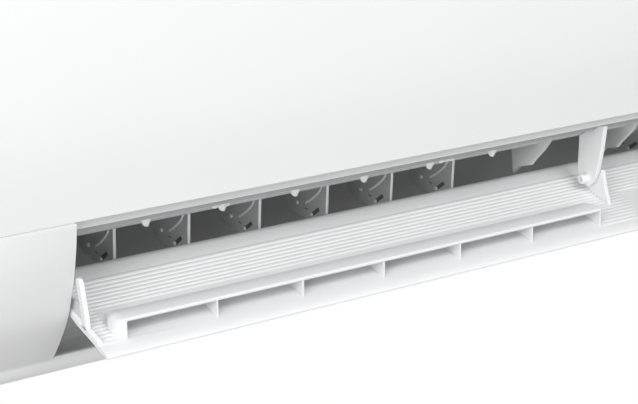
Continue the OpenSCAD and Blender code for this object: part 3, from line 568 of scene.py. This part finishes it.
def upper_height(s, x):
    """Height of the flap's upper face over its outer skin."""
    skin = SKIN_T
    if s < REAR_ROUND:
        skin = SKIN_T * math.sqrt(max(0.0, 1 - (1 - s / REAR_ROUND) ** 2))
    lip = FLAP_LEN - s
    if lip < LIP_ROUND:
        skin = SKIN_T * (0.3 + 0.7 * math.sqrt(max(0.0, 1 - (1 - lip / LIP_ROUND) ** 2)))
    return skin + rib_height(s, x) + end_height(s, x)


# Mesh of the flap's upper face: columns by their inset from its ends in millimetres, and rows
COLUMNS = [0, 0.3, 0.8, 1.4, 1.8, 2.2, 2.6, 3, 3.3, 3.7, 4, 4.4, 5, 5.6, 6.4, 7.2, 8, 8.8, 9.3,
           9.6, 9.9, 10.2, 10.6, 12, 60, 120, 200, 290, 311.3, 311.7, 312.1, 312.6, 316]
ROW_STEP, ROW_STEP_REAR = 0.33 * MM, 0.2 * MM


def flap_body():
    xs = [-FLAP_X + v * MM for v in COLUMNS]
    xs += [0.0] + [-x for x in xs[::-1]]
    rows = []
    s = 0.0
    while s < FLAP_LEN - 1e-6:
        rows.append(s)
        s += ROW_STEP_REAR if s < REAR_ROUND else ROW_STEP
    rows.append(FLAP_LEN)
    bm = bmesh.new()
    top, low = [], []
    for s in rows:
        p, n = on_skin(s)
        t_row = []
        for x in xs:
            q = p + n * upper_height(s, x)
            t_row.append(bm.verts.new((x, q.x, q.y)))
        top.append(t_row)
        low.append([bm.verts.new((x, p.x, p.y)) for x in (xs[0], xs[-1])])
    for i in range(len(rows) - 1):
        for j in range(len(xs) - 1):
            bm.faces.new((top[i][j], top[i][j + 1], top[i + 1][j + 1], top[i + 1][j]))
        bm.faces.new((low[i][0], low[i][1], low[i + 1][1], low[i + 1][0]))
    bm.faces.new([r[0] for r in top] + [r[0] for r in low][::-1])
    bm.faces.new([r[-1] for r in top] + [r[1] for r in low][::-1])
    bm.faces.new(top[0] + low[0][::-1])
    bm.faces.new(top[-1] + low[-1][::-1])
    return finish_mesh(bm, "flap_skin", 40)


flap = piece(flap_body(), "flap", "flap_white")


# Wing: a thin shelf with a rolled front, on webs, open to the front and closed at its outer end.
# Its webs stand on the flap's skin between two distances from the rear edge, in millimetres.
WEB_FOOT = (37.5, 60.5)
END_FOOT = (35.6, 61)
WEB_T = 0.9 * MM
WING_FRONT = -196 * MM
END_STEPS = 12
END_DROP = 3.2 * MM  # how far the outer end comes down as it rounds over
END_BACK = 6.5 * MM  # how far its front corner goes back
END_BASE = 20 * MM  # more than the wing's height, so that the last ring closes on the skin
SHELF_TOP = smooth(yz((-172.4, -107.2), (-175.2, -105.5), (-180.5, -102.9), (-186.2, -101.4),
                      (-191, -101.2), (-195, -101.5)), 8)
ROLL = (-195 * MM, -102.5 * MM)
SHELF = (SHELF_TOP + arc(ROLL, 1.0 * MM, 90, 250, 10)
         + smooth(yz((-194.4, -103.3), (-186.2, -103.0), (-180.9, -104.6), (-177.4, -106.8),
                     (-176.4, -108.2)), 6))
WEB = (yz((-175.4, -106.2), (-180.6, -103.5), (-186.2, -102.2), (-193.8, -102.2))
       + arc(ROLL, 0.8 * MM, 130, 180, 4) + yz((-195.8, -107), (-195.9, -111.2)))


def foot_point(share, foot, sink):
    """A point just under the flap's upper face, at a share of the way along a foot."""
    p, n = on_skin((foot[0] + (foot[1] - foot[0]) * share) * MM)
    return p + n * (SKIN_T - sink)


def wing_end_rings(side, base):
    """Closed outer end: a wall rounded over at its top and at its front corner."""
    top = SHELF_TOP + arc(ROLL, 1 * MM, 80, 180, 5)
    for k in range(END_STEPS + 2):
        a = math.pi / 2 * min(k, END_STEPS) / END_STEPS
        reach = WING_ROUND * math.sin(a)
        drop = END_DROP * (1 - math.cos(a)) if k <= END_STEPS else END_BASE
        front = WING_FRONT + END_BACK * (1 - math.cos(a))
        line = []
        for i, q in enumerate(top):
            lowest = foot_point(i / (len(top) - 1), END_FOOT, 0.2 * MM)
            line.append(Vector((max(q.x, front), max(q.y - drop, min(lowest.y, q.y)))))
        line.append(Vector((front, -111.6 * MM + 0.22 * (front - WING_FRONT))))
        line += base[::-1]
        yield [(side * (WING_OUT - 0.5 * MM + reach * (0.1 + 0.9 * ramp(-q.x / MM, 174, 187))),
                q.x, q.y) for q in line]


def wing(side):
    bm = bmesh.new()
    start = WING_END if side < 0 else WING_END_RIGHT
    mirror_into(bm, SHELF, side, start, WING_OUT)
    base = [foot_point(k / 8, WEB_FOOT, 0.4 * MM) for k in range(9)]
    for k in range(WEB_COUNT + 1):
        x = side * max(WING_END + k * WEB_PITCH, start)
        prism_into(bm, WEB + base[::-1], x - WEB_T / 2, x + WEB_T / 2)
    rings = [[bm.verts.new(v) for v in ring] for ring in wing_end_rings(side, base)]
    count = len(rings[0])
    for a, b in zip(rings, rings[1:]):
        for i in range(count):
            j = (i + 1) % count
            bm.faces.new((a[i], a[j], b[j], b[i]))
    bm.faces.new(rings[0])
    bm.faces.new(rings[-1][::-1])
    obj = finish_mesh(bm, "wing_left" if side < 0 else "wing_right", 35)
    return soften(obj, 0.35 * MM)


for side in (-1, 1):
    piece(wing(side), "flap", "flap_white")


# Ears that carry the flap on its hinge, and a post at each end in front of the pin
EAR_R = 4.6 * MM
PIN_R = 2  # in millimetres, as in all lathe profiles
EAR = (arc(PIN, EAR_R, 60, 120, 6) + yz((-168, -97.3), (-176, -98.5), (-183.4, -106),
       (-183.8, -109.3), (-172, -107.2), (-158, -102.2)) + arc(PIN, EAR_R, 0, 50, 5))
MID_EAR = (arc(PIN, EAR_R, 70, 130, 6) + yz((-170.4, -89.4), (-171.8, -88.7), (-173, -90.5),
           (-175.4, -98.8), (-179.8, -108.9), (-168, -105.8), (-159, -102.5))
           + arc(PIN, EAR_R, 0, 60, 5))
POST = yz((-173.4, -85.9), (-175, -84.6), (-177, -84.8), (-178.6, -86.5), (-183.4, -104),
          (-184.2, -109.4), (-179.2, -108.4), (-177.6, -99))


def end_ears():
    bm = bmesh.new()
    for side in (-1, 1):
        mirror_into(bm, EAR, side, FLAP_X - 0.9 * MM, FLAP_X - 2.4 * MM)
    return soften(finish_mesh(bm, "flap_end_ears"), 0.4 * MM)


# end ears in mid grey: painted shadow of the cheek
piece(end_ears(), "flap", "painted_shade_grey")


def ears():
    bm = bmesh.new()
    for side in (-1, 1):
        mirror_into(bm, POST, side, FLAP_X, FLAP_X - 2.5 * MM)
    prism_into(bm, MID_EAR, 2.3 * MM, 4.8 * MM)
    lathe_into(bm, [(-3.6, PIN_R), (0, PIN_R), (3, PIN_R)], (-FLAP_X, PIN.x, PIN.y), (1, 0, 0), 28)
    return soften(finish_mesh(bm, "flap_ears"), 0.4 * MM)


piece(ears(), "flap", "flap_white")


# Middle arm and the hollow pin that carry the flap
ARM = yz((-175.8, -61.4), (-174.3, -75.5), (-171.2, -91.0), (-168.8, -96.9), (-165.2, -99.9),
         (-160.4, -100.1), (-156.4, -96.4), (-155, -90), (-155, -71.2), (-171, -61.9))


ARM_X = (-1 * MM, 2 * MM)
TUBE = [(0.25, 3.4), (-0.5, 3.4), (-1.1, 2.75), (-3.9, 2.7), (-4.3, 2.4), (-4.3, 1.3), (-2.2, 1.2),
        (-2.2, 0.3)]


def arm():
    bm = bmesh.new()
    prism_into(bm, ARM, *ARM_X)
    return soften(finish_mesh(bm, "arm_blade"), 0.6 * MM, 3)


arm_piece = piece(arm(), "base", "white_small")


def pin_piece():
    bm = bmesh.new()
    for profile in (TUBE, [(0.2, PIN_R), (5.8, PIN_R)]):
        lathe_into(bm, profile, (ARM_X[0], PIN.x, PIN.y), (1, 0, 0), 40)
    return soften(finish_mesh(bm, "pin_tube"), 0.15 * MM)


pin = piece(pin_piece(), "base", "white_small")


# Vanes: thin grey blades with pivots and a fork, a raised curve, pegs and slots on both faces.
# The front edge, pegs and curve are painted highlight, and the slots are sheets of painted shade
VANE_T = 1.8 * MM
VANE = yz((-134, -61), (-122, -59.5), (-94, -69), (-90.6, -90), (-90.6, -96.6), (-92, -101),
          (-95.6, -103.6), (-103.5, -104.8), (-111, -104.8), (-121.6, -119.6), (-129.4, -121.6),
          (-130.8, -117))
SWEEP = smooth(yz((-111.7, -94.9), (-117.1, -91.5), (-121.6, -88), (-125.5, -84.4),
                  (-128, -80.5)), 6)
PIVOT = [(0, 1.5), (8, 1.5)]
FOOT = [(0, 1.5), (3.4, 1.5), (3.4, 3), (10, 3), (11.5, 1.6)]
FORK = yz((-4, 0), (-4, -19.5), (-2.1, -19.5), (-2.1, -13.6), (2.1, -13.6), (2.1, -19.5),
          (4, -19.5), (4, 0))  # in plan, from the pivot
FORK_Z = (-73.6 * MM, -71.5 * MM)
VANE_FRONT_Y = -0.129  # faces further forward than this can get the painted highlight of the front edge
FACE_IN = 0.7 * MM
PEG_AT = ((-103.9, -97.2), (-118.7, -100.3))
PEG_HALF = 0.9
SLOTS = [yz((-119.2, -101.4), (-117.7, -99.6), (-124.7, -94.5), (-126.2, -96.3)),
         yz((-111.2, -98.2), (-111.2, -98.9), (-114.2, -99.1), (-114.2, -98.4))]


def vane(x, name):
    bm = bmesh.new()
    prism_into(bm, VANE, x - VANE_T / 2, x + VANE_T / 2)
    lathe_into(bm, PIVOT, (x, VANE_Y, -61.2 * MM), (0, 0, 1), 20)
    lathe_into(bm, FOOT, (x, VANE_Y, -128.2 * MM), (0, 0, 1), 24)
    cap_into(bm, *[[(x + p.x, VANE_Y + p.y, z) for p in FORK] for z in FORK_Z])
    obj = finish_mesh(bm, name, 35)
    dress(obj, "vane_grey")
    # the faces at the very front take the paler copy: painted highlight of the lit front edge
    obj.data.materials.append(MATS["painted_vane_highlight"])
    for face in obj.data.polygons:
        if (face.normal.y < -0.9 and abs(face.center.x - x) < 0.3 * MM
                and face.center.y < VANE_FRONT_Y):
            face.material_index = 1
    return soften(obj, 0.35 * MM)


def on_faces(bm, outline, x, side, proud):
    """A prism that stands out of one face of the vane at x, to a distance from its middle."""
    prism_into(bm, outline, *sorted((x + side * FACE_IN, x + side * proud)))


def vane_pegs(x, name):
    """Square pegs and a curved bead moulded on the vane, in painted highlight."""
    bm = bmesh.new()
    for side in (-1, 1):
        on_faces(bm, SWEEP + beside(SWEEP, 1.2 * MM)[::-1], x, side, 1.4 * MM)
        for y, z in PEG_AT:
            corners = [(y + a * PEG_HALF, z + b * PEG_HALF)
                       for a, b in ((-1, -1), (1, -1), (1, 1), (-1, 1))]
            on_faces(bm, yz(*corners), x, side, 1.9 * MM)
    return soften(finish_mesh(bm, name), 0.25 * MM)


def vane_slots(x, name):
    """Dark sheets standing just out of the vane's faces: painted shade in its slots."""
    bm = bmesh.new()
    for side in (-1, 1):
        for outline in SLOTS:
            on_faces(bm, outline, x, side, 0.98 * MM)
    return soften(finish_mesh(bm, name), 0.1 * MM)


for side, sign in (("left", 1), ("right", -1)):
    for i, vane_x in enumerate(VANE_X, 1):
        x = vane_x * sign
        tag = "%s_%d" % (side, i)
        body = "vane_%s_body" % tag
        blade = vane(x, "vane_blade_" + tag)
        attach(blade, body)
        # pegs and bead in the paler copy of the vane's plastic: painted highlight
        piece(vane_pegs(x, "vane_pegs_" + tag), body, "painted_vane_highlight")
        # thin dark sheets over the slots: painted shade
        piece(vane_slots(x, "vane_slots_" + tag), body, "painted_slot_shade")
        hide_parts("vane_" + tag)


# Floor
WHITE = (1, 1, 1, 1)
FLOOR_Z = -0.75
FLOOR_HALF = 6


def stage_plane(name, corners):
    bm = bmesh.new()
    bm.faces.new([bm.verts.new(c) for c in corners])
    obj = finish_mesh(bm, name)
    return obj


def any_of(tree, *values):
    """The greatest of some shader values."""
    value = values[0]
    for other in values[1:]:
        most = new_node(tree, "Math")
        most.operation = "MAXIMUM"
        tree.links.new(value, most.inputs[0])
        tree.links.new(other, most.inputs[1])
        value = most.outputs["Value"]
    return value


def mix_into(tree, share, shaders, target):
    mix = new_node(tree, "MixShader")
    tree.links.new(share, mix.inputs["Fac"])
    for socket, shader in zip((mix.inputs[1], mix.inputs[2]), shaders):
        tree.links.new(shader, socket)
    tree.links.new(mix.outputs["Shader"], target)


def white_to_camera(name, color):
    """Plain pale surface that is white to the camera and in reflections."""
    mat = principled(name, color, 0.9)
    tree = mat.node_tree
    glow = new_node(tree, "Emission", Color=WHITE)
    rays = new_node(tree, "LightPath").outputs
    share = any_of(tree, rays["Is Camera Ray"], rays["Is Glossy Ray"],
                   rays["Is Transmission Ray"])
    mix_into(tree, share, (shader_of(tree).outputs["BSDF"], glow.outputs["Emission"]),
             tree.nodes["Material Output"].inputs["Surface"])
    return mat


floor = stage_plane("floor", [(x * FLOOR_HALF, y * FLOOR_HALF, FLOOR_Z)
                              for x, y in ((-1, -1), (1, -1), (1, 1), (-1, 1))])
floor.data.materials.append(white_to_camera("floor_pale", (0.35, 0.35, 0.35)))


# World and lamps
def studio_world(strength):
    """Even light, and white to the camera and through glass."""
    world = bpy.data.worlds.new("studio")
    bpy.context.scene.world = world
    world.use_nodes = True
    tree = world.node_tree
    light = tree.nodes["Background"]
    light.inputs["Color"].default_value = WHITE
    light.inputs["Strength"].default_value = strength
    white = new_node(tree, "Background", Color=WHITE)
    rays = new_node(tree, "LightPath").outputs
    share = any_of(tree, rays["Is Camera Ray"], rays["Is Transmission Ray"])
    mix_into(tree, share, (light.outputs["Background"], white.outputs["Background"]),
             tree.nodes["World Output"].inputs["Surface"])


studio_world(0.5)


def lamp(name, place, target, width, power):
    data = bpy.data.lights.new(name, "AREA")
    data.shape = "RECTANGLE"
    data.size = data.size_y = width
    data.energy = power
    obj = bpy.data.objects.new(name, data)
    bpy.context.scene.collection.objects.link(obj)
    obj.location = place
    obj.rotation_euler = (Vector(target) - Vector(place)).to_track_quat("-Z", "Y").to_euler()


# Each lamp's place, the point that it faces, its width and its power in watts
for name, place, target, width, power in (
        ("key", (-2.0, -1.2, 0.8), (-0.1, -0.1, -0.07), 1.2, 28),
        ("fill", (0.3, -1.9, 1.8), (-0.1, -0.1, -0.05), 0.9, 26),
        ("front", (-1.3, -2.4, -0.2), (-0.1, -0.1, -0.08), 1.2, 12)):
    lamp(name, place, target, width, power)

# Camera: the photograph's view, worked out from its parallel lines
CAM_PLACE = (-0.6471, -0.8655, 0.2012)
CAM_AZIMUTH = math.radians(33.25)
CAM_PITCH = math.radians(18.29)
FOCAL_PX = 1700.0
IMAGE_W = 638.0
SENSOR = 36.0
cam_data = bpy.data.cameras.new("photo_camera")
cam_data.sensor_width = SENSOR
cam_data.lens = FOCAL_PX * SENSOR / IMAGE_W
cam_data.dof.use_dof = False
cam = bpy.data.objects.new("photo_camera", cam_data)
bpy.context.scene.collection.objects.link(cam)
cam.location = CAM_PLACE
ahead = Vector((math.sin(CAM_AZIMUTH) * math.cos(CAM_PITCH),
                math.cos(CAM_AZIMUTH) * math.cos(CAM_PITCH), -math.sin(CAM_PITCH)))
cam.rotation_euler = ahead.to_track_quat("-Z", "Y").to_euler()
bpy.context.scene.camera = cam

bpy.context.scene.view_settings.view_transform = "Standard"

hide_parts("flap")
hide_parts("front_panel")
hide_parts("hinge_arm")
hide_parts("hinge_pin")
